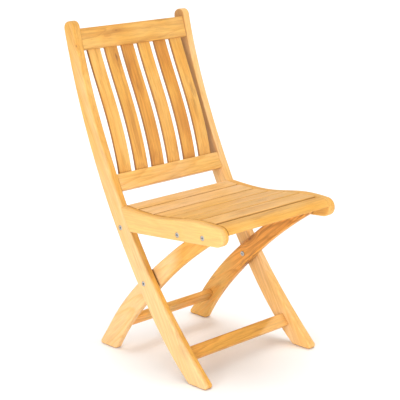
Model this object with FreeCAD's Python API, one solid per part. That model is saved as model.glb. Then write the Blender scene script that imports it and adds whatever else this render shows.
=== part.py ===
import FreeCAD, Part
import math
import os

# A wooden folding chair, in millimetres. +Z is up, the sitter faces -Y, and left
# and right are the sitter's own. Outlines are drawn in the side view as (y, z)
# points measured from the cross pivot's upright line, and every piece is then
# moved so that the origin is on the floor in the middle of the chair. Pieces that
# come in pairs are drawn on the left, at +X, and mirrored.

# ---------------------------------------------------------------- overall sizes
WIDTH = 440.0
ORIGIN_Y = 5.4           # middle of the chair's depth, behind the cross pivot
SIDE_T = 26.0            # thickness of a stile and of a seat rail
LEG_T = 22.0             # thickness of a rear leg
SIDE_GAP = 4.0           # room between the stile and the leg, for link and washer
OUTER_X = WIDTH / 2
INNER_X = OUTER_X - SIDE_T
LEG_OUTER_X = INNER_X - SIDE_GAP
LEG_INNER_X = LEG_OUTER_X - LEG_T
CUT_PAST = 1.0           # how far a cutting tool runs past the wood

# ---------------------------------------------------------------- pivots (y, z)
CROSS = (0.0, 240.5)          # stile and rear leg
BACK_LINK = (91.1, 380.3)     # stile and link
LEG_TOP = (-229.4, 417.8)     # seat rail and rear leg
LINK_LENGTH = 228.0           # back pivot to front pivot of a link

# ---------------------------------------------------------------- stile outline
STILE_FRONT = [(-254, 0), (-218, 35), (-155, 100), (-36.5, 240), (55, 381), (164, 598), (255.5, 848)]
STILE_REAR = [(300, 853), (210, 582), (112, 378), (27, 237), (-81, 90), (-173.5, 0)]
STILE_TOP = (296.5, 925.0)    # middle of the rounded top end
STILE_TOP_LEAN = 15.0         # degrees that the top end leans back
STILE_TOP_HALF = 21.0
STILE_TOP_R = 19.0
STILE_SOFT = 5.0              # rounding of the long edges
STILE_TIP_R = 9.0             # rounding of the foot's sharp and blunt corners
STILE_HEEL_R = 8.0

# ---------------------------------------------------------------- rear leg outline
LEG_FRONT = [(157.5, 0), (106, 80), (1, 200), (-83, 282), (-182.5, 362)]
LEG_REAR = [(-155, 398.5), (-51.5, 319), (40.5, 238), (153.5, 112), (203, 40), (231.5, 0)]
LEG_TOP_R = 19.0
LEG_TOP_TURN = (234.0, 63.0)  # degrees between which the top end is round
LEG_SOFT = 4.5
LEG_TIP_R = 7.0
LEG_HEEL_R = 9.0

# ---------------------------------------------------------------- seat rail
SEAT_LINE = [(100, 440), (45, 436.5), (-20, 435), (-80, 439), (-140, 448), (-195, 455), (-240, 456)]
NOSE = (-276.0, 428.2)        # centre of the rounded front end
NOSE_R = 25.8
RAIL_BOTTOM_REAR = (60.0, 374.0)
RAIL_SOFT = 4.5
RAIL_END_GAP = 0.5            # between the rail's end and the stile it bears on

# ---------------------------------------------------------------- seat slats
SLAT_GAP = 6.0
SLAT_JOINTS = [45.6, -16.0, -74.6, -135.0, -193.5, -252.0]   # y of each gap's middle
SLAT_REAR_Y = 92.0
SLAT_T = 16.0
SLAT_SOFT = 2.5
SLAT_TENON = (10.0, 8.0, 8.0)     # length, thickness, shoulder on each side
SLAT_STILE_GAP = 1.5
NOSE_SLAT_T = 17.0
NOSE_SLAT_FRONT_Z = 433.5         # lower edge of the front slat's rolled face
NOSE_SLAT_SOFT = 2.0
NOSE_TENON_W = 24.0
NOSE_TENON_DEPTH = 4.5            # below the seat line

# ---------------------------------------------------------------- back
BACK_RAIL_DEPTH = 24.0
TOP_RAIL = ((267.0, 877.0), 17.0, 60.0)        # front face's middle, lean, height
LOWER_RAIL = ((120.5, 498.0), 26.5, 48.0)
BACK_RAIL_TENON = (16.0, 12.0, 9.0)            # length, thickness, shoulder
CROSS_SOFT = 3.0                               # rounding of rails and stretchers
BACK_SLATS = 6
BACK_SLAT_W = 44.5
BACK_SLAT_T = 8.5
BACK_SLAT_PITCH = 61.5
BACK_SLAT_LEAN = 20.0                          # of its thickness, in degrees
BACK_SLAT_FRONT = [(134.5, 488), (153, 572), (188, 672), (227, 760), (270.5, 864)]
BACK_SLAT_SOFT = 2.0

# ---------------------------------------------------------------- stretchers
STRETCHER_DEPTH = 18.0
STRETCHER_H = 37.0
STRETCHER_TENON = (14.0, 10.0, 7.0)
FRONT_STRETCHER = ((-147.0, 71.5), 42.0)       # front face's middle, lean
REAR_STRETCHER = (141.0, 80.5)                 # middle of its section
REAR_STRETCHER_LEAN = -36.0

# ---------------------------------------------------------------- links and fasteners
LINK_T = 3.0
LINK_W = 19.0
LINK_OUTER_X = INNER_X - 0.4
LINK_INNER_X = LINK_OUTER_X - LINK_T
BOLT_R = 3.95
BOLT_HOLE_R = 4.0
BOLT_IN_LEG = 19.0            # how far a bolt reaches into the leg's cap nut
HEAD_R = 7.0
HEAD_T = 2.6
HEAD_HOLE_R = 7.2
HEAD_SINK = 0.3               # the head lies this far below the wood
HEAD_RIM = 0.8                # rounding of a head's rim
SOCKET_ACROSS = 5.0
SOCKET_DEPTH = 2.0
SOCKET_SHARE = 0.6            # most of a thin head's depth that its socket takes
BARREL_R = 5.0                # sleeve of the cap nut, on which a leg turns
BARREL_HOLE_R = 5.05
NUT_T = 2.0
LINK_NUT_T = 3.0
LINK_NUT_BORE = 1.2
FACE_GAP = 0.3                # between faces that turn past each other
WASHER_R = 10.0

PARTS = {}


# ---------------------------------------------------------------- side-view helpers
def vec(x, point):
    """A point of the side view, set at x."""
    return FreeCAD.Vector(x, point[0], point[1])


def lean_axes(lean):
    """Unit steps up along a member that leans back by lean degrees, and rearwards across it."""
    angle = math.radians(lean)
    up = (math.sin(angle), math.cos(angle))
    back = (math.cos(angle), -math.sin(angle))
    return up, back


def step(point, *moves):
    """The point moved by each (direction, distance)."""
    y, z = point
    for direction, distance in moves:
        y += direction[0] * distance
        z += direction[1] * distance
    return (y, z)


def spot(centre, radius, degrees):
    """The point of a circle at an angle that runs from +y towards +z."""
    angle = math.radians(degrees)
    return (centre[0] + radius * math.cos(angle), centre[1] + radius * math.sin(angle))


def line(start, end):
    return Part.makeLine(vec(0, start), vec(0, end))


def arc(start, middle, end):
    return Part.Arc(vec(0, start), vec(0, middle), vec(0, end)).toShape()


def round_arc(centre, radius, from_degrees, to_degrees):
    middle_degrees = (from_degrees + to_degrees) / 2
    turns = (from_degrees, middle_degrees, to_degrees)
    return arc(*[spot(centre, radius, degrees) for degrees in turns])


def spline_curve(points):
    curve = Part.BSplineCurve()
    curve.interpolate([vec(0, point) for point in points])
    return curve


def spline(points):
    return spline_curve(points).toShape()


def outline(points):
    """Straight edges round a closed polygon."""
    return [line(start, end) for start, end in zip(points, points[1:] + points[:1])]


# ---------------------------------------------------------------- solid helpers
def board(edges, low_x, high_x):
    """A board between two planes of constant x, cut to a side outline."""
    face = Part.Face(Part.Wire(Part.__sortEdges__(edges)))
    solid = face.extrude(FreeCAD.Vector(high_x - low_x, 0, 0))
    solid.translate(FreeCAD.Vector(low_x, 0, 0))
    return solid


def rod(radius, low_x, high_x, point):
    return Part.makeCylinder(radius, high_x - low_x, vec(low_x, point), FreeCAD.Vector(1, 0, 0))


def crosses(edge):
    """Whether an edge runs across the chair."""
    return edge.BoundBox.XLength > 1.0


def soften_sides(solid, radius):
    """Round the edges along both sides of a board."""
    return solid.makeFillet(radius, [edge for edge in solid.Edges if not crosses(edge)])


def soften_across(solid, radius):
    """Round the edges that run across the chair."""
    return solid.makeFillet(radius, [edge for edge in solid.Edges if crosses(edge)])


def soften_corner(solid, radius, corner):
    """Round the crossing edge that is nearest to a point of the side view."""
    def distance(edge):
        return math.hypot(edge.BoundBox.YMin - corner[0], edge.BoundBox.ZMin - corner[1])
    nearest = min(filter(crosses, solid.Edges), key=distance)
    return solid.makeFillet(radius, [nearest])


def largest(solid):
    """The largest piece that a cut has left."""
    return max(solid.Solids, key=lambda piece: piece.Volume)


def mirrored(shape):
    return shape.mirror(FreeCAD.Vector(0, 0, 0), FreeCAD.Vector(1, 0, 0))


def bore(solid, radius, low_x, high_x, pivots):
    """Drill the same hole at each pivot."""
    for pivot in pivots:
        solid = solid.cut(rod(radius, low_x, high_x, pivot))
    return solid


def bolt_holes(solid, pivots):
    """Holes through a stile or rail, each with its recess for a bolt head."""
    solid = bore(solid, BOLT_HOLE_R, INNER_X - CUT_PAST, OUTER_X + CUT_PAST, pivots)
    return bore(solid, HEAD_HOLE_R, OUTER_X - HEAD_T - HEAD_SINK, OUTER_X + CUT_PAST, pivots)


# ---------------------------------------------------------------- storing the nodes
def keep(name, *shapes):
    """Store a node, moved from the pivot's upright line to the chair's origin."""
    node = shapes[0] if len(shapes) == 1 else Part.makeCompound(list(shapes))
    node = node.copy()
    node.translate(FreeCAD.Vector(0, -ORIGIN_Y, 0))
    PARTS[name] = node


def keep_pair(name, shape):
    """One node that holds the left-hand piece and its mirror image."""
    keep(name, shape, mirrored(shape))


def keep_sides(name, shape):
    """Two nodes: the left-hand piece and its mirror image."""
    keep("left_" + name, shape)
    keep("right_" + name, mirrored(shape))


# ---------------------------------------------------------------- cross members
def cross_board(front_mid, lean, height, depth, half_length):
    """A straight board across the chair, its front face leaning back by lean degrees."""
    up, back = lean_axes(lean)
    low = step(front_mid, (up, -height / 2))
    high = step(front_mid, (up, height / 2))
    corners = [low, high, step(high, (back, depth)), step(low, (back, depth))]
    return board(outline(corners), -half_length, half_length)


def tenoned_board(front_mid, lean, height, depth, half_length, tenon):
    """A cross board with softened edges and a tenon at each end."""
    tenon_length, tenon_t, shoulder = tenon
    body = soften_across(cross_board(front_mid, lean, height, depth, half_length), CROSS_SOFT)
    up, back = lean_axes(lean)
    tongue_front = step(front_mid, (back, (depth - tenon_t) / 2))
    tongue = cross_board(tongue_front, lean, height - 2 * shoulder, tenon_t, half_length + tenon_length)
    return body.fuse(tongue).removeSplitter()


# ---------------------------------------------------------------- back frame
def stile_board(low_x, high_x):
    """A stile before its edges are softened: a long curve with a rounded top and a level foot."""
    up, back = lean_axes(STILE_TOP_LEAN)
    flat_half = STILE_TOP_HALF - STILE_TOP_R
    shoulder = step(STILE_TOP, (up, -STILE_TOP_R))
    reach = STILE_TOP_R * math.sqrt(0.5)
    front_end = step(shoulder, (back, -STILE_TOP_HALF))
    front_middle = step(shoulder, (back, -flat_half - reach), (up, reach))
    front_flat = step(STILE_TOP, (back, -flat_half))
    rear_flat = step(STILE_TOP, (back, flat_half))
    rear_middle = step(shoulder, (back, flat_half + reach), (up, reach))
    rear_end = step(shoulder, (back, STILE_TOP_HALF))
    edges = [
        spline(STILE_FRONT + [front_end]),
        arc(front_end, front_middle, front_flat),
        line(front_flat, rear_flat),
        arc(rear_flat, rear_middle, rear_end),
        spline([rear_end] + STILE_REAR),
        line(STILE_REAR[-1], STILE_FRONT[0]),
    ]
    return board(edges, low_x, high_x)


def stile():
    solid = stile_board(INNER_X, OUTER_X)
    solid = soften_corner(solid, STILE_TIP_R, STILE_FRONT[0])
    solid = soften_corner(solid, STILE_HEEL_R, STILE_REAR[-1])
    return bolt_holes(soften_sides(solid, STILE_SOFT), [CROSS, BACK_LINK])


def back_slat(middle_x):
    """One back slat: a thin board bent forwards in the small of the back."""
    front = BACK_SLAT_FRONT
    _, back = lean_axes(BACK_SLAT_LEAN)
    rear = [step(point, (back, BACK_SLAT_T)) for point in reversed(front)]
    edges = [spline(front), line(front[-1], rear[0]), spline(rear), line(rear[-1], front[0])]
    solid = board(edges, middle_x - BACK_SLAT_W / 2, middle_x + BACK_SLAT_W / 2)
    long_edges = [edge for edge in solid.Edges if edge.BoundBox.ZLength > 2 * BACK_SLAT_T]
    return solid.makeFillet(BACK_SLAT_SOFT, long_edges)


def build_back():
    top = tenoned_board(*TOP_RAIL, BACK_RAIL_DEPTH, INNER_X, BACK_RAIL_TENON)
    lower = tenoned_board(*LOWER_RAIL, BACK_RAIL_DEPTH, INNER_X, BACK_RAIL_TENON)
    stretcher = tenoned_board(*FRONT_STRETCHER, STRETCHER_H, STRETCHER_DEPTH, INNER_X, STRETCHER_TENON)
    keep_sides("stile", stile().cut(top).cut(lower).cut(stretcher))
    for number in range(BACK_SLATS):
        slat = back_slat((number - (BACK_SLATS - 1) / 2) * BACK_SLAT_PITCH)
        top = top.cut(slat)
        lower = lower.cut(slat)
        keep("back_slat_%d" % (number + 1), slat)
    keep("top_rail", top)
    keep("lower_back_rail", lower)
    keep("front_stretcher", stretcher)


# ---------------------------------------------------------------- seat
def seat_height(y):
    """Height of the seat line at y, found by halving the stretch of curve that holds it."""
    curve = spline_curve(SEAT_LINE)
    low, high = curve.FirstParameter, curve.LastParameter
    for _ in range(40):
        middle = (low + high) / 2
        if curve.value(middle).y > y:
            low = middle
        else:
            high = middle
    return curve.value(low).z


def link_pivot():
    """Where link and seat rail meet: on the line from the back pivot to the leg top."""
    run = (LEG_TOP[0] - BACK_LINK[0], LEG_TOP[1] - BACK_LINK[1])
    length = math.hypot(*run)
    return step(BACK_LINK, ((run[0] / length, run[1] / length), LINK_LENGTH))


def seat_rail():
    """A seat rail: dished along its top, round at the nose, cut to the stile at its rear."""
    drop = NOSE[1] - NOSE_R - RAIL_BOTTOM_REAR[1]
    bottom_slope = math.degrees(math.atan2(drop, RAIL_BOTTOM_REAR[0] - NOSE[0]))
    bottom_end = 270 - bottom_slope
    edges = [
        spline(SEAT_LINE + [spot(NOSE, NOSE_R, 90)]),
        round_arc(NOSE, NOSE_R, 90, bottom_end),
        line(spot(NOSE, NOSE_R, bottom_end), RAIL_BOTTOM_REAR),
        line(RAIL_BOTTOM_REAR, SEAT_LINE[0]),
    ]
    solid = soften_sides(board(edges, INNER_X, OUTER_X), RAIL_SOFT)
    stop = stile_board(INNER_X - CUT_PAST, OUTER_X + CUT_PAST)
    stop.translate(FreeCAD.Vector(0, -RAIL_END_GAP, 0))
    return largest(bolt_holes(solid.cut(stop), [link_pivot(), LEG_TOP]))


def slat_tongue(corners):
    """The tongue that runs through a slat and stands out at each end as its tenon."""
    reach = INNER_X + SLAT_TENON[0]
    return board(outline(corners), -reach, reach)


def flat_slat(rear_y, front_y):
    """A flat seat slat between two rails, with its tenons."""
    rear = (rear_y, seat_height(rear_y))
    front = (front_y, seat_height(front_y))
    width = math.hypot(rear[0] - front[0], rear[1] - front[1])
    along = ((front[0] - rear[0]) / width, (front[1] - rear[1]) / width)
    down = (-along[1], along[0])
    corners = [rear, front, step(front, (down, SLAT_T)), step(rear, (down, SLAT_T))]
    body = soften_across(board(outline(corners), -INNER_X, INNER_X), SLAT_SOFT)
    _, thickness, shoulder = SLAT_TENON
    near = step(rear, (down, (SLAT_T - thickness) / 2), (along, shoulder))
    far = step(near, (along, width - 2 * shoulder))
    tongue = slat_tongue([near, far, step(far, (down, thickness)), step(near, (down, thickness))])
    return body.fuse(tongue).removeSplitter()


def nose_slat(rear_y):
    """The front slat, whose upper face rolls over the nose with the rails."""
    nose_top = spot(NOSE, NOSE_R, 90)
    rear = (rear_y, nose_top[1])
    under_rear = (rear_y, nose_top[1] - NOSE_SLAT_T)
    lip_degrees = 180 - math.degrees(math.asin((NOSE_SLAT_FRONT_Z - NOSE[1]) / NOSE_R))
    edges = [
        line(rear, nose_top),
        round_arc(NOSE, NOSE_R, 90, lip_degrees),
        line(spot(NOSE, NOSE_R, lip_degrees), under_rear),
        line(under_rear, rear),
    ]
    body = soften_across(board(edges, -INNER_X, INNER_X), NOSE_SLAT_SOFT)
    _, thickness, shoulder = SLAT_TENON
    tongue_rear = rear_y - shoulder
    tongue_front = tongue_rear - NOSE_TENON_W
    tongue_top = nose_top[1] - NOSE_TENON_DEPTH
    tongue_low = tongue_top - thickness
    tongue = slat_tongue([(tongue_rear, tongue_top), (tongue_front, tongue_top),
                          (tongue_front, tongue_low), (tongue_rear, tongue_low)])
    return body.fuse(tongue).removeSplitter()


def build_seat():
    rail = seat_rail()
    joints = [SLAT_REAR_Y + SLAT_GAP / 2] + SLAT_JOINTS
    slats = []
    for rear, front in zip(joints, joints[1:]):
        slats.append(flat_slat(rear - SLAT_GAP / 2, front + SLAT_GAP / 2))
    slats.append(nose_slat(SLAT_JOINTS[-1] - SLAT_GAP / 2))
    beside_stile = stile_board(INNER_X - SLAT_STILE_GAP, OUTER_X)
    slats[0] = largest(slats[0].cut(beside_stile).cut(mirrored(beside_stile)))
    for number, slat in enumerate(slats):
        rail = rail.cut(slat)
        keep("seat_slat_%d" % (number + 1), slat)
    keep_sides("seat_rail", largest(rail))


# ---------------------------------------------------------------- rear legs
def rear_leg():
    """A rear leg: a bowed board with a round top end and a level foot."""
    front_turn, rear_turn = LEG_TOP_TURN
    edges = [
        spline(LEG_FRONT + [spot(LEG_TOP, LEG_TOP_R, front_turn)]),
        round_arc(LEG_TOP, LEG_TOP_R, front_turn, rear_turn),
        spline([spot(LEG_TOP, LEG_TOP_R, rear_turn)] + LEG_REAR),
        line(LEG_REAR[-1], LEG_FRONT[0]),
    ]
    solid = board(edges, LEG_INNER_X, LEG_OUTER_X)
    solid = soften_corner(solid, LEG_TIP_R, LEG_REAR[-1])
    solid = soften_corner(solid, LEG_HEEL_R, LEG_FRONT[0])
    solid = soften_sides(solid, LEG_SOFT)
    return bore(solid, BARREL_HOLE_R, LEG_INNER_X - CUT_PAST, LEG_OUTER_X + CUT_PAST, [CROSS, LEG_TOP])


def build_legs():
    _, back = lean_axes(REAR_STRETCHER_LEAN)
    front_mid = step(REAR_STRETCHER, (back, -STRETCHER_DEPTH / 2))
    stretcher = tenoned_board(front_mid, REAR_STRETCHER_LEAN, STRETCHER_H, STRETCHER_DEPTH,
                              LEG_INNER_X, STRETCHER_TENON)
    keep_sides("rear_leg", rear_leg().cut(stretcher))
    keep("rear_stretcher", stretcher)


# ---------------------------------------------------------------- links
def link():
    """A flat steel bar with a round eye at each end."""
    front = link_pivot()
    run = ((front[0] - BACK_LINK[0]) / LINK_LENGTH, (front[1] - BACK_LINK[1]) / LINK_LENGTH)
    side = (-run[1], run[0])
    half = LINK_W / 2
    corners = [step(BACK_LINK, (side, half)), step(front, (side, half)),
               step(front, (side, -half)), step(BACK_LINK, (side, -half))]
    solid = board(outline(corners), LINK_INNER_X, LINK_OUTER_X)
    for eye in (BACK_LINK, front):
        solid = solid.fuse(rod(half, LINK_INNER_X, LINK_OUTER_X, eye))
    solid = solid.removeSplitter()
    return bore(solid, BOLT_HOLE_R, LINK_INNER_X - CUT_PAST, LINK_OUTER_X + CUT_PAST, [BACK_LINK, front])


def link_stud():
    """The flat-headed stud that closes the link's rear eye, from the inside."""
    head = round_head(LINK_INNER_X - NUT_T, LINK_INNER_X, BACK_LINK, faces_out=False)
    return head.fuse(rod(BOLT_R, LINK_INNER_X, LINK_OUTER_X, BACK_LINK)).removeSplitter()


# ---------------------------------------------------------------- fasteners
def hexagon(across, low_x, high_x, point):
    """A six-sided plug, by its width across flats."""
    corner = across / math.sqrt(3)
    return board(outline([spot(point, corner, 60 * number) for number in range(6)]), low_x, high_x)


def round_head(low_x, high_x, point, faces_out):
    """A round head with a softened rim and a hexagon socket, facing outwards or inwards."""
    head = rod(HEAD_R, low_x, high_x, point)
    face_x = high_x if faces_out else low_x
    rim = [edge for edge in head.Edges if not crosses(edge) and abs(edge.BoundBox.XMin - face_x) < HEAD_RIM]
    head = head.makeFillet(HEAD_RIM, rim)
    depth = min(SOCKET_DEPTH, SOCKET_SHARE * (high_x - low_x))
    if faces_out:
        return head.cut(hexagon(SOCKET_ACROSS, high_x - depth, high_x + CUT_PAST, point))
    return head.cut(hexagon(SOCKET_ACROSS, low_x - CUT_PAST, low_x + depth, point))


def bolt(point, end_x):
    """A flat-headed bolt from the outer face of a stile or rail in to end_x."""
    head_low = OUTER_X - HEAD_SINK - HEAD_T
    head = round_head(head_low, OUTER_X - HEAD_SINK, point, faces_out=True)
    return head.fuse(rod(BOLT_R, end_x, head_low, point)).removeSplitter()


def barrel_nut(point):
    """A cap nut whose sleeve runs through the leg and carries it."""
    face_x = LEG_INNER_X - FACE_GAP
    head = round_head(face_x - NUT_T, face_x, point, faces_out=False)
    sleeve = rod(BARREL_R, face_x, LEG_OUTER_X, point)
    nut = head.fuse(sleeve).removeSplitter()
    return nut.cut(rod(BOLT_HOLE_R, face_x + NUT_T, LEG_OUTER_X + CUT_PAST, point))


def washer(point):
    """The spacer between a stile or rail and the leg."""
    ring = rod(WASHER_R, LEG_OUTER_X + FACE_GAP, INNER_X, point)
    return ring.cut(rod(BOLT_HOLE_R, LEG_OUTER_X, INNER_X + CUT_PAST, point))


def link_nut(point):
    """The low cap nut that holds a link on its bolt."""
    face_x = LINK_INNER_X - FACE_GAP
    cap = round_head(face_x - LINK_NUT_T, face_x, point, faces_out=False)
    return cap.cut(rod(BOLT_HOLE_R, face_x - LINK_NUT_BORE, face_x + CUT_PAST, point))


def build_fasteners():
    leg_bolt_end = LEG_OUTER_X - BOLT_IN_LEG
    link_bolt_end = LINK_INNER_X - FACE_GAP - LINK_NUT_BORE
    for name, pivot in (("cross", CROSS), ("leg_top", LEG_TOP)):
        keep_pair(name + "_bolts", bolt(pivot, leg_bolt_end))
        keep_pair(name + "_nuts", barrel_nut(pivot))
        keep_pair(name + "_washers", washer(pivot))
    keep_pair("rail_link_bolts", bolt(link_pivot(), link_bolt_end))
    keep_pair("rail_link_nuts", link_nut(link_pivot()))
    keep_pair("back_link_bolts", bolt(BACK_LINK, INNER_X))
    keep_sides("link", link())
    keep_sides("link_stud", link_stud())


def main():
    build_back()
    build_seat()
    build_legs()
    build_fasteners()
    os.makedirs("parts", exist_ok=True)
    for name, shape in PARTS.items():
        shape.exportStep("parts/%s.step" % name)
        print("%-18s %d solids, valid %s" % (name, len(shape.Solids), shape.isValid()))


main()
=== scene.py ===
"""A folding chair in oiled hardwood: its timber, its steel fittings, a pale floor and soft light."""
import math

import bpy
from mathutils import Matrix, Vector


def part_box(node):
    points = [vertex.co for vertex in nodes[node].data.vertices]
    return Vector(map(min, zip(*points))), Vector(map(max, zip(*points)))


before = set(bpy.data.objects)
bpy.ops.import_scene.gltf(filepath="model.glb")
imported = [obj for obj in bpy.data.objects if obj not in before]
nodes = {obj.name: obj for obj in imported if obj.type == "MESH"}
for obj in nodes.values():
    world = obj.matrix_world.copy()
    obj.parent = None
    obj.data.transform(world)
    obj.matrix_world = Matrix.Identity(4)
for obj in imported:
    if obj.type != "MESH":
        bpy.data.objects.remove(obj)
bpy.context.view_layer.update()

# ------------------------------------------------------------------ camera
CAMERA_PLACE = (-2.4081, -2.4812, 1.3602)
CAMERA_AZIMUTH = -44.154      # degrees round from the chair's front
CAMERA_ELEVATION = 15.012     # degrees above the horizon
CAMERA_ROLL = -0.282
CAMERA_LENS = 115.46          # focal length, in millimetres
FILM_WIDTH = 36.0             # millimetres
FARTHEST_SEEN = 200.0

# ------------------------------------------------------------------ floor and light
FLOOR_REACH = 40.0
FLOOR_COLOUR = (0.965, 0.98, 0.99, 1)
FLOOR_ROUGHNESS = 0.9
FLOOR_GLOSS = 0.1

SKY_COLOUR = (1.0, 0.995, 0.985, 1)
SKY_STRENGTH = 0.50
BACKDROP_STRENGTH = 1.0

# Each broad lamp: the way to it from the chair, strength, width in degrees, colour.
LAMPS = {
    "lamp_side": ((-1.0, -0.20, 0.30), 1.4, 28, (1.0, 0.985, 0.96)),
    "lamp_front": ((0.40, -1.0, 0.30), 1.25, 45, (1.0, 0.99, 0.975)),
    "lamp_top": ((0.1, 0.1, 1.0), 1.75, 60, (1.0, 0.995, 0.99)),
}

# A low soft box off the chair's front right corner, for the legs and the underside.
LOW_BOX_PLACE = (-1.30, -1.15, 0.22)
LOW_BOX_AIM = (0.10, 0.0, 0.24)
LOW_BOX_SIZE = 0.7
LOW_BOX_POWER = 9.0

# ------------------------------------------------------------------ wood colours
IVORY = (0.80, 0.51, 0.250, 1)
CREAM = (0.78, 0.46, 0.165, 1)
STRAW = (0.75, 0.43, 0.118, 1)
HONEY = (0.69, 0.350, 0.066, 1)
# A deep orange made brighter than the wood's own, as painted light on the pieces that sit in shade under the
# seat.
SHADE_LIFTED_GINGER = (0.90, 0.410, 0.078, 1)
AMBER = (0.60, 0.255, 0.036, 1)
RUSSET = (0.40, 0.140, 0.020, 1)
# The dark brown of painted shade, laid into seams, the stiles' slots and the back slats' flanks.
SEAM_SHADE_BROWN = (0.34, 0.140, 0.038, 1)
BARK_BROWN = (0.22, 0.085, 0.030, 1)

# ------------------------------------------------------------------ wood patterns
# Cells in a metre along the grain, across it, and from the heart to the bark.
DRIFT = (3.2, 15, 15)
FIBRES = (14, 240, 240)
SAP_WAVES = (6, 30, 30)
KNOT_FRAY = (90, 260, 260)

# Each pattern's cells, its detail and roughness, and the levels between which it fades in.
PATTERNS = {
    "bands": ((1.5, 95, 95), 3, 0.6, (0.42, 0.66)),
    "clouds": ((5.5, 13, 13), 2, 0.5, (0.36, 0.64)),
    "blots": ((7.0, 26, 26), 2, 0.5, (0.56, 0.74)),
    "wisps": ((16, 150, 150), 4, 0.7, (0.40, 0.60)),
    "pores": ((48, 950, 950), 1, 0.5, (0.66, 0.78)),
}

# One ring from its spring growth to its dark autumn growth, as (place in the ring, darkness).
RING_PROFILE = [(0.0, 0.0), (0.55, 0.28), (0.86, 1.0), (1.0, 0.0)]
FAINTEST_RING = 0.25
SEED_STEPS = (1.37, 2.11, 0.73)   # how far one seed is from the next in the patterns

KNOT_SHAPE = (0.38, 1.0, 0.5)     # a knot's section, drawn out along the grain
KNOT_RAGGED = 0.7
KNOT_RIM = (1.15, 0.45)           # where its core fades out and where it is whole, in knot sizes
KNOT_SWELL = 2.6                  # rings that it pushes aside
KNOT_FALL = -0.22                 # how fast that swelling dies away

SAP_FADE = 0.010                  # depth over which heartwood turns to sapwood
NO_SAPWOOD = 1.0                  # a start that lies beyond any board

# How much of its colour each effect puts over the wood.
SAP_SHARE = 0.85
HALO_SHARE = 0.20
CORE_SHARE = 0.85
RIM_SHARE = 0.45
# The next share is of painted shade, laid into seams, the stiles' slots and the back slats' flanks.
SEAM_SHADE_SHARE = 0.85
PORE_SHARE = 0.35

# The range of the fibres' pattern that shows, and how dark and how light it makes the wood.
FIBRE_LEVELS = (0.30, 0.70)
FIBRE_SHADES = (0.84, 1.10)

# ------------------------------------------------------------------ finishes
WOOD_ROUGHNESS = 0.34
FIBRE_ROUGHNESS = 0.22
RING_POLISH = -0.07
RING_HEIGHT = 0.35
FIBRE_HEIGHT = 0.6
PORE_HEIGHT = -0.8
WOOD_RELIEF = 0.00025
WOOD_GLOSS = 0.26
OIL_COAT = 0.06
OIL_ROUGHNESS = 0.30
WORN_EDGE = 0.0022                # how far wear and oil reach from a corner
CORNER = (0.995, 0.90)            # how far a face's own normal and the rounded one agree: face, corner

PLATING_CLOUDS = (160, 160, 160)  # cells in a metre along the chair's X, Y and Z
SCRATCHES = (300, 2600, 500)
BRIGHT_PLATING = (0.62, 0.60, 0.57, 1)
DULL_PLATING = (0.40, 0.38, 0.36, 1)
# The near black of painted shade in the steel's sockets and recesses.
SOCKET_SHADE_COLOUR = (0.045, 0.035, 0.028, 1)
STEEL_ROUGHNESS = 0.24
CLOUD_ROUGHNESS = 0.25
STEEL_RELIEF = 0.00003

# How near a neighbour has to be to darken a seam with painted shade, and the openness at which that shade is
# darkest and clear.
SHADED_SEAM = (0.010, 0.25, 0.65)
SHADED_SEAT_SEAM = (0.020, 0.25, 0.65)
SHADED_SOCKET = (0.008, 0.35, 0.85)
SLAT_FOOT = 0.52                  # height at which the back slats stand out of the lower rail
SLOT_FADE = 0.02
SLOT_SHADOW = 0.8                  # how strongly the stiles' inner faces are darkened beside the slats, as a painted shadow
SIDEWAYS = (0.45, 0.85)           # how squarely a face looks along the chair's width: not yet, and fully

# ------------------------------------------------------------------ directions
ACROSS_CHAIR = (1, 0, 0)
STILE_GRAIN = (0, 0.50, 0.866)
BACK_SLAT_GRAIN = (0, 0.338, 0.941)
LEG_GRAIN = (0, -0.76, 0.65)
RAIL_GRAIN = (0, -0.998, 0.06)
OUT_LEFT = (1, 0, 0)
OUT_RIGHT = (-1, 0, 0)
FORWARD = (0, -1, 0)
UPWARD = (0, 0, 1)


# ------------------------------------------------------------------ node helpers
def feed(tree, socket, value):
    """Link the value to the socket where it is another socket, or else set it."""
    if isinstance(value, bpy.types.NodeSocket):
        tree.links.new(value, socket)
    else:
        socket.default_value = value


def add(tree, kind, inputs=None, **settings):
    """A new node with its settings, and its inputs by name or number."""
    node = tree.nodes.new(kind)
    for name, value in settings.items():
        setattr(node, name, value)
    for name, value in (inputs or {}).items():
        feed(tree, node.inputs[name], value)
    return node


def maths(tree, operation, *values):
    return add(tree, "ShaderNodeMath", dict(enumerate(values)), operation=operation).outputs[0]


def times(tree, first, second):
    return maths(tree, "MULTIPLY", first, second)


def vectors(tree, operation, *values, output="Vector"):
    return add(tree, "ShaderNodeVectorMath", dict(enumerate(values)), operation=operation).outputs[output]


def parts_of(tree, vector):
    """A vector's X, Y and Z."""
    return add(tree, "ShaderNodeSeparateXYZ", {"Vector": vector}).outputs


def mix(tree, factor, first, second, blend="MIX"):
    """Two colours mixed. A Mix node has its colour sockets at 6 and 7, and its colour result at 2."""
    inputs = {0: factor, 6: first, 7: second}
    return add(tree, "ShaderNodeMix", inputs, data_type="RGBA", blend_type=blend).outputs[2]


def stretch(tree, vector, scale):
    """The coordinates scaled, so that a pattern has 1/scale as its size in metres."""
    return add(tree, "ShaderNodeMapping", {"Vector": vector, "Scale": scale}).outputs[0]


def noise(tree, vector, scale, detail=2.0, roughness=0.5, output="Fac"):
    inputs = {"Vector": stretch(tree, vector, scale), "Scale": 1.0, "Detail": detail, "Roughness": roughness}
    return add(tree, "ShaderNodeTexNoise", inputs).outputs[output]


def remap(tree, value, low, high, to_low=0.0, to_high=1.0):
    """The value taken smoothly from one range to another, and kept inside it."""
    inputs = {"Value": value, "From Min": low, "From Max": high, "To Min": to_low, "To Max": to_high}
    return add(tree, "ShaderNodeMapRange", inputs, interpolation_type="SMOOTHSTEP").outputs[0]


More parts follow.
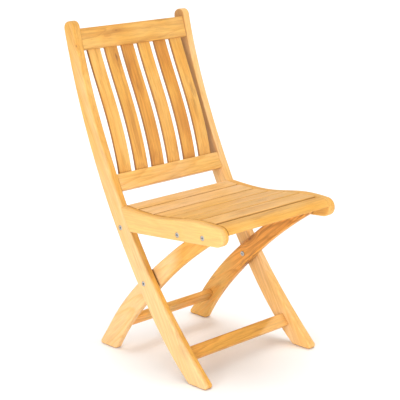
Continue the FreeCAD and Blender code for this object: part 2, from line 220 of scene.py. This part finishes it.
def ramp(tree, value, stops):
    """A curve through grey stops of (position, level)."""
    node = add(tree, "ShaderNodeValToRGB", {"Fac": value})
    elements = node.color_ramp.elements
    while len(elements) < len(stops):
        elements.new(0.5)
    for element, (position, level) in zip(elements, stops):
        element.position = position
        element.color = (level, level, level, 1)
    return node.outputs[0]


def surface(tree, output):
    """Where the surface is ("Object") or which way it faces ("Normal"), in the chair's frame."""
    return tree.nodes.new("ShaderNodeTexCoord").outputs[output]


def new_group(name, inputs, outputs):
    """An empty node group. Inputs are (name, kind, default), outputs are (name, kind)."""
    group = bpy.data.node_groups.new(name, "ShaderNodeTree")
    for label, kind, default in inputs:
        socket = group.interface.new_socket(name=label, in_out="INPUT", socket_type="NodeSocket" + kind)
        if default is not None:
            socket.default_value = default
    for label, kind in outputs:
        group.interface.new_socket(name=label, in_out="OUTPUT", socket_type="NodeSocket" + kind)
    return group, group.nodes.new("NodeGroupInput").outputs, group.nodes.new("NodeGroupOutput").inputs


SURFACE = [("Color", "Color"), ("Roughness", "Float"), ("Height", "Float")]


# ------------------------------------------------------------------ shared effect: knot
def knot_group():
    """A knot in the wood: its dark core, and how far it pushes the growth rings aside."""
    group, given, result = new_group(
        "knot",
        [("Vector", "Vector", None), ("Centre", "Vector", None), ("Size", "Float", 0.008)],
        [("Core", "Float"), ("Push", "Float")],
    )
    offset = vectors(group, "SUBTRACT", given["Vector"], given["Centre"])
    distance = vectors(group, "LENGTH", stretch(group, offset, KNOT_SHAPE), output="Value")
    reach = maths(group, "DIVIDE", distance, given["Size"])
    ragged = times(group, noise(group, given["Vector"], KNOT_FRAY), KNOT_RAGGED)
    feed(group, result["Core"], remap(group, maths(group, "ADD", reach, ragged), *KNOT_RIM))
    swell = maths(group, "EXPONENT", times(group, times(group, reach, reach), KNOT_FALL))
    feed(group, result["Push"], times(group, swell, KNOT_SWELL))
    return group


# ------------------------------------------------------------------ shared effect: timber
TIMBER_INPUTS = [
    ("Vector", "Vector", None),
    ("Seed", "Vector", None),
    ("Ring Width", "Float", 0.006),
    ("Heart Depth", "Float", 0.06),
    ("Heart Tilt", "Float", 0.05),
    ("Wander", "Float", 0.02),
    ("Figure", "Float", 0.5),
    ("Streaks", "Float", 0.5),
    ("Stain", "Float", 0.3),
    ("Light", "Color", STRAW),
    ("Middle", "Color", HONEY),
    ("Line", "Color", AMBER),
    ("Sapwood", "Color", CREAM),
    ("Sap Start", "Float", NO_SAPWOOD),
    ("Sap Slope", "Float", 0.0),
    ("Knot Core", "Float", 0.0),
    ("Knot Push", "Float", 0.0),
    ("Edge", "Float", 0.0),
    # Painted shade: how much seam brown goes over the wood.
    ("Crevice Shade", "Float", 0.0),
]


def pattern(group, seeded, name):
    """One of the wood's patterns: 1 where it shows, and 0 between."""
    cells, detail, roughness, levels = PATTERNS[name]
    return remap(group, noise(group, seeded, cells, detail, roughness), *levels)


def wandering_place(group, given, seeded):
    """The place in the board, pushed about so that the rings wander along it."""
    drift = noise(group, seeded, DRIFT, detail=3, roughness=0.55, output="Color")
    centred = vectors(group, "SUBTRACT", drift, (0.5, 0.5, 0.5))
    pushed = vectors(group, "MULTIPLY", centred, given["Wander"])
    return parts_of(group, vectors(group, "ADD", given["Vector"], pushed))


def ring_lines(group, given, place):
    """The dark lines of the growth rings, which lie round the heart and differ in strength."""
    rise = maths(group, "MULTIPLY_ADD", place["X"], given["Heart Tilt"], given["Heart Depth"])
    depth = maths(group, "ADD", place["Z"], rise)
    squares = [maths(group, "POWER", value, 2.0) for value in (place["Y"], depth)]
    radius = maths(group, "SQRT", maths(group, "ADD", *squares))
    rings = maths(group, "ADD", maths(group, "DIVIDE", radius, given["Ring Width"]), given["Knot Push"])
    late_wood = ramp(group, maths(group, "FRACT", rings), RING_PROFILE)
    number = maths(group, "FLOOR", rings)
    chance = add(group, "ShaderNodeTexWhiteNoise", {"W": number}, noise_dimensions="1D").outputs["Value"]
    return times(group, late_wood, remap(group, chance, 0.0, 1.0, FAINTEST_RING, 1.0))


def heartwood(group, given, seeded, line):
    """Light and middle tones in clouds, with bands and rings in the line colour."""
    body = mix(group, pattern(group, seeded, "clouds"), given["Light"], given["Middle"])
    banded = mix(group, times(group, pattern(group, seeded, "bands"), given["Streaks"]), body, given["Line"])
    return mix(group, times(group, line, given["Figure"]), banded, given["Line"])


def with_sapwood(group, given, seeded, place, line, wood):
    """Paler wood towards the bark, from a depth that slopes and waves along the board."""
    edge = maths(group, "MULTIPLY_ADD", noise(group, seeded, SAP_WAVES), SAP_FADE, place["Z"])
    start = maths(group, "MULTIPLY_ADD", place["X"], given["Sap Slope"], given["Sap Start"])
    share = remap(group, maths(group, "SUBTRACT", edge, start), 0.0, SAP_FADE, 0.0, SAP_SHARE)
    pale = mix(group, times(group, line, given["Figure"]), given["Sapwood"], given["Light"])
    return mix(group, share, wood, pale)


def with_marks(group, given, seeded, wood):
    """Mineral stains, knots, worn rims, and painted shade in seams."""
    blots = times(group, pattern(group, seeded, "blots"), pattern(group, seeded, "wisps"))
    stained = mix(group, times(group, blots, given["Stain"]), wood, BARK_BROWN)
    haloed = mix(group, times(group, given["Knot Push"], HALO_SHARE), stained, given["Line"])
    cored = mix(group, times(group, given["Knot Core"], CORE_SHARE), haloed, BARK_BROWN)
    rimmed = mix(group, times(group, given["Edge"], RIM_SHARE), cored, given["Line"])
    # Painted shade in seams, slots and flanks, in a dark brown.
    return mix(group, times(group, given["Crevice Shade"], SEAM_SHADE_SHARE), rimmed, SEAM_SHADE_BROWN)


def with_grain(group, given, fibre, pores, wood):
    """Fine shading by the fibres, and open pores."""
    shade = remap(group, fibre, *FIBRE_LEVELS, *FIBRE_SHADES)
    grey = add(group, "ShaderNodeCombineColor", {0: shade, 1: shade, 2: shade}).outputs[0]
    grained = mix(group, 1.0, wood, grey, blend="MULTIPLY")
    return mix(group, times(group, pores, PORE_SHARE), grained, given["Line"])


def timber_group():
    """Solid wood. X runs along the grain and Z away from the heart of the tree."""
    group, given, result = new_group("timber", TIMBER_INPUTS, SURFACE)
    seeded = vectors(group, "ADD", given["Vector"], given["Seed"])
    place = wandering_place(group, given, seeded)
    line = ring_lines(group, given, place)
    fibre = noise(group, seeded, FIBRES, detail=6, roughness=0.72)
    pores = pattern(group, seeded, "pores")

    wood = heartwood(group, given, seeded, line)
    wood = with_sapwood(group, given, seeded, place, line, wood)
    wood = with_marks(group, given, seeded, wood)
    feed(group, result["Color"], with_grain(group, given, fibre, pores, wood))

    rough = maths(group, "MULTIPLY_ADD", fibre, FIBRE_ROUGHNESS, WOOD_ROUGHNESS)
    feed(group, result["Roughness"], maths(group, "MULTIPLY_ADD", line, RING_POLISH, rough))
    raised = maths(group, "MULTIPLY_ADD", line, RING_HEIGHT, times(group, fibre, FIBRE_HEIGHT))
    feed(group, result["Height"], maths(group, "MULTIPLY_ADD", pores, PORE_HEIGHT, raised))
    return group


# ------------------------------------------------------------------ shared effect: plated steel
def steel_group():
    """Turned and plated steel: fine scratches, clouded plating, and painted shade where it is sunk."""
    inputs = [("Vector", "Vector", None), ("Crevice Shade", "Float", 0.0)]
    group, given, result = new_group("plated_steel", inputs, SURFACE)
    cloud = noise(group, given["Vector"], PLATING_CLOUDS, detail=3)
    plating = mix(group, cloud, BRIGHT_PLATING, DULL_PLATING)
    # Painted shade in the sockets.
    feed(group, result["Color"], mix(group, given["Crevice Shade"], plating, SOCKET_SHADE_COLOUR))
    feed(group, result["Roughness"], maths(group, "MULTIPLY_ADD", cloud, CLOUD_ROUGHNESS, STEEL_ROUGHNESS))
    feed(group, result["Height"], noise(group, given["Vector"], SCRATCHES))
    return group


TIMBER = timber_group()
KNOT = knot_group()
PLATED_STEEL = steel_group()


# ------------------------------------------------------------------ masks
def crevice_shade_mask(tree, reach, shut, opened):
    """Painted shade: 1 where other surfaces crowd within the reach, and 0 on an open face."""
    crowd = add(tree, "ShaderNodeAmbientOcclusion", {"Distance": reach}, samples=8).outputs["AO"]
    return remap(tree, crowd, opened, shut)


def slot_shadow_mask(tree, place, inward):
    """A painted shadow on a stile's inner face, in the slot beside the back slats, and 0 below them."""
    facing = vectors(tree, "DOT_PRODUCT", surface(tree, "Normal"), inward, output="Value")
    height = parts_of(tree, place)["Z"]
    above = remap(tree, height, SLAT_FOOT - SLOT_FADE, SLAT_FOOT, 0.0, SLOT_SHADOW)
    return times(tree, remap(tree, facing, *SIDEWAYS), above)


def flank_shade_mask(tree):
    """Painted shade: 1 on the sawn edges that face along the chair's width, and 0 on the planed faces."""
    sideways = parts_of(tree, surface(tree, "Normal"))["X"]
    return remap(tree, maths(tree, "ABSOLUTE", sideways), *SIDEWAYS)


def painted_shade_mask(tree, place, seam, slot, flanks):
    """Where shade is painted on a board: in its seams, and in a stile's slot and on a slat's flanks when
    they are asked for.
    """
    sunk = crevice_shade_mask(tree, *seam)
    if slot:
        sunk = maths(tree, "MAXIMUM", sunk, slot_shadow_mask(tree, place, slot))
    if flanks:
        sunk = maths(tree, "MAXIMUM", sunk, flank_shade_mask(tree))
    return sunk


def edge_mask(tree, radius):
    """1 along the piece's own corners, and 0 on its faces."""
    rounded = add(tree, "ShaderNodeBevel", {"Radius": radius}, samples=4).outputs[0]
    true_normal = tree.nodes.new("ShaderNodeNewGeometry").outputs["Normal"]
    agreement = vectors(tree, "DOT_PRODUCT", rounded, true_normal, output="Value")
    return remap(tree, agreement, *CORNER)


# ------------------------------------------------------------------ materials
def new_material(name):
    material = bpy.data.materials.new(name)
    material.use_nodes = True
    tree = material.node_tree
    tree.nodes.clear()
    shader = tree.nodes.new("ShaderNodeBsdfPrincipled")
    output = tree.nodes.new("ShaderNodeOutputMaterial")
    tree.links.new(shader.outputs[0], output.inputs["Surface"])
    return material, tree, shader


def finish_surface(tree, shader, effect, relief):
    """Feed an effect's colour, roughness and height to the shader."""
    feed(tree, shader.inputs["Base Color"], effect.outputs["Color"])
    feed(tree, shader.inputs["Roughness"], effect.outputs["Roughness"])
    bump = add(tree, "ShaderNodeBump", {"Height": effect.outputs["Height"], "Distance": relief})
    feed(tree, shader.inputs["Normal"], bump.outputs[0])


def dress(piece, material):
    """Give every slot of a piece the material."""
    slots = nodes[piece].data.materials
    for index in range(len(slots)):
        slots[index] = material


def board_axes(along, bark):
    """A turned frame: X along the grain, Z towards the bark, Y across."""
    x_axis = Vector(along).normalized()
    z_axis = Vector(bark)
    z_axis = (z_axis - x_axis * z_axis.dot(x_axis)).normalized()
    y_axis = z_axis.cross(x_axis)
    return Matrix((x_axis, y_axis, z_axis)).transposed()


def knot_marks(tree, local, axes, middle, knots):
    """The cores of a board's knots, and how far they push its rings. Knots are (place, size)."""
    core = 0.0
    push = 0.0
    for place, size in knots:
        centre = axes.transposed() @ (Vector(place) - middle)
        inputs = {"Vector": local, "Centre": centre, "Size": size}
        knot = add(tree, "ShaderNodeGroup", inputs, node_tree=KNOT)
        core = maths(tree, "MAXIMUM", core, knot.outputs["Core"])
        push = maths(tree, "ADD", push, knot.outputs["Push"])
    return core, push


def oiled_wood(piece, along, bark, light, middle, line, figure=0.5, streaks=0.35, stain=0.35, ring=0.0075,
               heart=0.06, tilt=0.06, wander=0.020, sap=NO_SAPWOOD, sap_slope=0.0, sapwood=CREAM, seam=SHADED_SEAM,
               slot=None, flanks=False, seed=0, knots=()):
    """The piece's own cut of timber, in metres. For a stile, slot is the way inwards."""
    low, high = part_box(piece)
    centre = (low + high) / 2
    axes = board_axes(along, bark)
    material, tree, shader = new_material("oiled_wood_" + piece)
    place = surface(tree, "Object")
    turned = {"Vector": place, "Location": centre, "Rotation": axes.to_euler()}
    local = add(tree, "ShaderNodeMapping", turned, vector_type="TEXTURE").outputs[0]
    core, push = knot_marks(tree, local, axes, centre, knots)
    values = {
        "Vector": local,
        "Seed": [seed * seed_step for seed_step in SEED_STEPS],
        "Ring Width": ring,
        "Heart Depth": heart,
        "Heart Tilt": tilt,
        "Wander": wander,
        "Figure": figure,
        "Streaks": streaks,
        "Stain": stain,
        "Light": light,
        "Middle": middle,
        "Line": line,
        "Sapwood": sapwood,
        "Sap Start": sap,
        "Sap Slope": sap_slope,
        "Knot Core": core,
        "Knot Push": push,
        "Edge": edge_mask(tree, WORN_EDGE),
        # Painted shade in seams, slots and flanks.
        "Crevice Shade": painted_shade_mask(tree, place, seam, slot, flanks),
    }
    wood = add(tree, "ShaderNodeGroup", values, node_tree=TIMBER)
    finish_surface(tree, shader, wood, WOOD_RELIEF)
    shader.inputs["Specular IOR Level"].default_value = WOOD_GLOSS
    shader.inputs["Coat Weight"].default_value = OIL_COAT
    shader.inputs["Coat Roughness"].default_value = OIL_ROUGHNESS
    dress(piece, material)


def plated_steel():
    material, tree, shader = new_material("plated_steel")
    # The steel's painted shade, in its sockets.
    inputs = {"Vector": surface(tree, "Object"), "Crevice Shade": crevice_shade_mask(tree, *SHADED_SOCKET)}
    effect = add(tree, "ShaderNodeGroup", inputs, node_tree=PLATED_STEEL)
    finish_surface(tree, shader, effect, STEEL_RELIEF)
    shader.inputs["Metallic"].default_value = 1.0
    return material


# ------------------------------------------------------------------ the chair's pieces
def finish_back_frame():
    # slot= paints a shadow on each stile's inner face beside the back slats.
    oiled_wood("right_stile", STILE_GRAIN, OUT_RIGHT, STRAW, HONEY, AMBER, figure=0.45, stain=0.3,
               ring=0.009, heart=0.05, tilt=0.05, sap=0.010, sap_slope=0.014, sapwood=IVORY,
               slot=OUT_LEFT, seed=1, knots=[((-0.220, 0.255, 0.861), 0.003)])
    oiled_wood("left_stile", STILE_GRAIN, OUT_LEFT, IVORY, CREAM, HONEY, figure=0.45, stain=0.2,
               ring=0.009, heart=0.06, slot=OUT_RIGHT, seed=2)
    oiled_wood("top_rail", ACROSS_CHAIR, FORWARD, HONEY, STRAW, RUSSET, figure=0.45, stain=1.0, ring=0.009,
               heart=0.03, tilt=0.04, wander=0.03, seed=3,
               knots=[((-0.066, 0.269, 0.889), 0.004), ((-0.102, 0.266, 0.879), 0.003)])
    oiled_wood("lower_back_rail", ACROSS_CHAIR, FORWARD, CREAM, STRAW, AMBER, figure=0.5, stain=0.4,
               heart=0.05, seed=4)
    oiled_wood("front_stretcher", ACROSS_CHAIR, FORWARD, SHADE_LIFTED_GINGER, HONEY, RUSSET, figure=0.4, heart=0.05,
               sap=0.042, sap_slope=-0.3, sapwood=CREAM, seed=5)


def finish_back_slats():
    pale = (STRAW, HONEY, AMBER)
    knotty = (HONEY, HONEY, RUSSET)
    dark = (HONEY, AMBER, RUSSET)
    knots = {2: [((-0.083, 0.246, 0.817), 0.007)]}
    # flanks=True paints shade on the slats' edges that face along the chair's width.
    for number, tones in enumerate((pale, knotty, dark, pale, dark, pale), 1):
        oiled_wood("back_slat_%d" % number, BACK_SLAT_GRAIN, FORWARD, *tones, figure=0.35, streaks=0.5,
                   stain=0.5, ring=0.010, heart=0.08, tilt=0.02, flanks=True, seed=10 + number,
                   knots=knots.get(number, ()))


def finish_seat_rails():
    oiled_wood("right_seat_rail", RAIL_GRAIN, OUT_RIGHT, STRAW, HONEY, AMBER, figure=0.4, stain=0.25,
               heart=0.05, sap=0.0, seed=21)
    oiled_wood("left_seat_rail", RAIL_GRAIN, OUT_LEFT, STRAW, HONEY, AMBER, figure=0.4, heart=0.05, seed=22)


def finish_seat_slats():
    palest = (IVORY, CREAM, HONEY)
    pale = (CREAM, STRAW, AMBER)
    golden = (STRAW, HONEY, AMBER)
    knots = {1: [((-0.122, 0.093, 0.430), 0.0035)], 6: [((-0.057, -0.219, 0.452), 0.0035)]}
    # The seat slats take their painted seam shade from a wider reach.
    for number, tones in enumerate((palest, palest, pale, pale, pale, pale, golden), 1):
        oiled_wood("seat_slat_%d" % number, ACROSS_CHAIR, UPWARD, *tones, figure=0.3, streaks=0.30,
                   ring=0.009, heart=0.07, tilt=0.03, seam=SHADED_SEAT_SEAM, seed=30 + number,
                   knots=knots.get(number, ()))


def finish_legs():
    oiled_wood("right_rear_leg", LEG_GRAIN, OUT_RIGHT, STRAW, HONEY, AMBER, figure=0.7, stain=0.15,
               ring=0.011, heart=0.035, tilt=0.12, sap=0.002, sap_slope=0.08, sapwood=IVORY, seed=41)
    oiled_wood("left_rear_leg", LEG_GRAIN, OUT_RIGHT, SHADE_LIFTED_GINGER, SHADE_LIFTED_GINGER, RUSSET, figure=0.7, streaks=0.6,
               stain=1.0, ring=0.010, heart=0.035, tilt=0.09, sap=0.016, sap_slope=0.10, sapwood=STRAW,
               seed=47, knots=[((0.168, -0.033, 0.290), 0.006)])
    oiled_wood("rear_stretcher", ACROSS_CHAIR, FORWARD, STRAW, SHADE_LIFTED_GINGER, RUSSET, figure=0.45, heart=0.05,
               seed=43)


def finish_steel():
    """The links and all the fasteners, which share the slot called steel."""
    material = plated_steel()
    for piece, node in nodes.items():
        if node.data.materials[0].name == "steel":
            dress(piece, material)


# ------------------------------------------------------------------ studio
def make_floor():
    mesh = bpy.data.meshes.new("floor")
    corners = [(-1, -1), (1, -1), (1, 1), (-1, 1)]
    mesh.from_pydata([(x * FLOOR_REACH, y * FLOOR_REACH, 0.0) for x, y in corners], [], [(0, 1, 2, 3)])
    floor = bpy.data.objects.new("floor", mesh)
    bpy.context.scene.collection.objects.link(floor)
    material, _, shader = new_material("pale_floor")
    shader.inputs["Base Color"].default_value = FLOOR_COLOUR
    shader.inputs["Roughness"].default_value = FLOOR_ROUGHNESS
    shader.inputs["Specular IOR Level"].default_value = FLOOR_GLOSS
    mesh.materials.append(material)


def make_sky():
    """Even light all round, on a backdrop that is plain white to look at."""
    world = bpy.data.worlds.new("studio")
    world.use_nodes = True
    tree = world.node_tree
    seen = tree.nodes.new("ShaderNodeLightPath").outputs["Is Camera Ray"]
    background = tree.nodes["Background"]
    background.inputs["Color"].default_value = SKY_COLOUR
    feed(tree, background.inputs["Strength"], remap(tree, seen, 0.0, 1.0, SKY_STRENGTH, BACKDROP_STRENGTH))
    bpy.context.scene.world = world


def hang_lamp(name, kind, power, way):
    """A new lamp that shines along the way, and the object that holds it."""
    lamp = bpy.data.lights.new(name, kind)
    lamp.energy = power
    holder = bpy.data.objects.new(name, lamp)
    holder.rotation_euler = way.to_track_quat("-Z", "Y").to_euler()
    bpy.context.scene.collection.objects.link(holder)
    return lamp, holder


def make_lamps():
    for name, (way, strength, width, colour) in LAMPS.items():
        lamp, _ = hang_lamp(name, "SUN", strength, -Vector(way))
        lamp.angle = math.radians(width)
        lamp.color = colour


def make_low_box():
    lamp, holder = hang_lamp("low_box", "AREA", LOW_BOX_POWER, Vector(LOW_BOX_AIM) - Vector(LOW_BOX_PLACE))
    lamp.size = LOW_BOX_SIZE
    holder.location = LOW_BOX_PLACE
    holder.visible_camera = False


def make_camera():
    azimuth = math.radians(CAMERA_AZIMUTH)
    elevation = math.radians(CAMERA_ELEVATION)
    roll = math.radians(CAMERA_ROLL)
    back = Vector((math.sin(azimuth) * math.cos(elevation), -math.cos(azimuth) * math.cos(elevation),
                   math.sin(elevation)))
    level = Vector((math.cos(azimuth), math.sin(azimuth), 0.0))
    up = back.cross(level)
    right = level * math.cos(roll) + up * math.sin(roll)
    turned_up = up * math.cos(roll) - level * math.sin(roll)
    lens = bpy.data.cameras.new("camera")
    lens.lens = CAMERA_LENS
    lens.sensor_width = FILM_WIDTH
    lens.clip_end = FARTHEST_SEEN
    camera = bpy.data.objects.new("camera", lens)
    axes = Matrix((right, turned_up, back)).transposed()
    camera.matrix_world = Matrix.Translation(CAMERA_PLACE) @ axes.to_4x4()
    bpy.context.scene.collection.objects.link(camera)
    bpy.context.scene.camera = camera


make_camera()
make_floor()
make_sky()
make_lamps()
make_low_box()
finish_back_frame()
finish_back_slats()
finish_seat_rails()
finish_seat_slats()
finish_legs()
finish_steel()
bpy.context.scene.view_settings.view_transform = "Standard"
